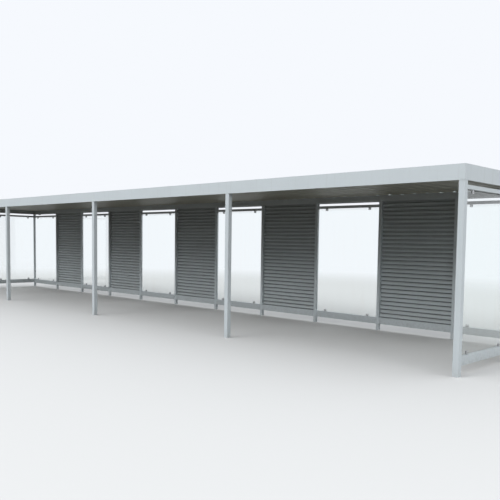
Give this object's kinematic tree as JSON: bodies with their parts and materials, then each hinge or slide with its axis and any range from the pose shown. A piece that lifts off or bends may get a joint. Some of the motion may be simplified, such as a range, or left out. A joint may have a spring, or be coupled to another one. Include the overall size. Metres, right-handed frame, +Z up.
{
  "type": "bike shelter",
  "caption": "Long open-front bike shelter with a flat sheet roof, square posts, a folded roof edge and a back wall of alternating clear glass and corrugated sheet.",
  "frame": {"origin": "middle of the footprint at floor level", "axes": "+X along the open front towards its right end, +Y from the open front to the back wall, +Z up"},
  "size_m": [16.4, 2.948, 2.568],
  "materials": {
    "posts": "light grey powder coat, satin",
    "beams": "light grey powder coat, satin",
    "rails": "grey powder coat, satin",
    "roof_edge": "light grey powder coat, satin",
    "roof_sheet": "coil coated sheet, matt",
    "wall_sheet": "coil coated sheet, satin",
    "gutter": "coated sheet, satin",
    "glass": "clear float glass, polished edges",
    "clamps": "dark anodised"
  },
  "bodies": {
    "root": {"back_beam": "beams", "back_bottom_rails": "rails", "back_glass_1": "glass", "back_glass_2": "glass", "back_glass_3": "glass", "back_glass_4": "glass", "back_glass_5": "glass", "back_glass_6": "glass", "back_glass_clamps": "clamps", "back_post_1": "posts", "back_post_10": "posts", "back_post_11": "posts", "back_post_12": "posts", "back_post_2": "posts", "back_post_3": "posts", "back_post_4": "posts", "back_post_5": "posts", "back_post_6": "posts", "back_post_7": "posts", "back_post_8": "posts", "back_post_9": "posts", "back_roof_edge": "roof_edge", "back_top_rails": "rails", "corrugated_panel_1": "wall_sheet", "corrugated_panel_2": "wall_sheet", "corrugated_panel_3": "wall_sheet", "corrugated_panel_4": "wall_sheet", "corrugated_panel_5": "wall_sheet", "front_beam": "beams", "front_post_1": "posts", "front_post_2": "posts", "front_post_3": "posts", "front_post_4": "posts", "front_post_5": "posts", "front_roof_edge": "roof_edge", "left_beam": "beams", "left_bottom_rails": "rails", "left_glass": "glass", "left_glass_clamps": "clamps", "left_middle_post": "posts", "left_roof_edge": "roof_edge", "left_top_rails": "rails", "rear_gutter": "gutter", "right_beam": "beams", "right_bottom_rails": "rails", "right_glass": "glass", "right_glass_clamps": "clamps", "right_middle_post": "posts", "right_roof_edge": "roof_edge", "right_top_rails": "rails", "roof_sheet": "roof_sheet"}
  },
  "joints": []
}
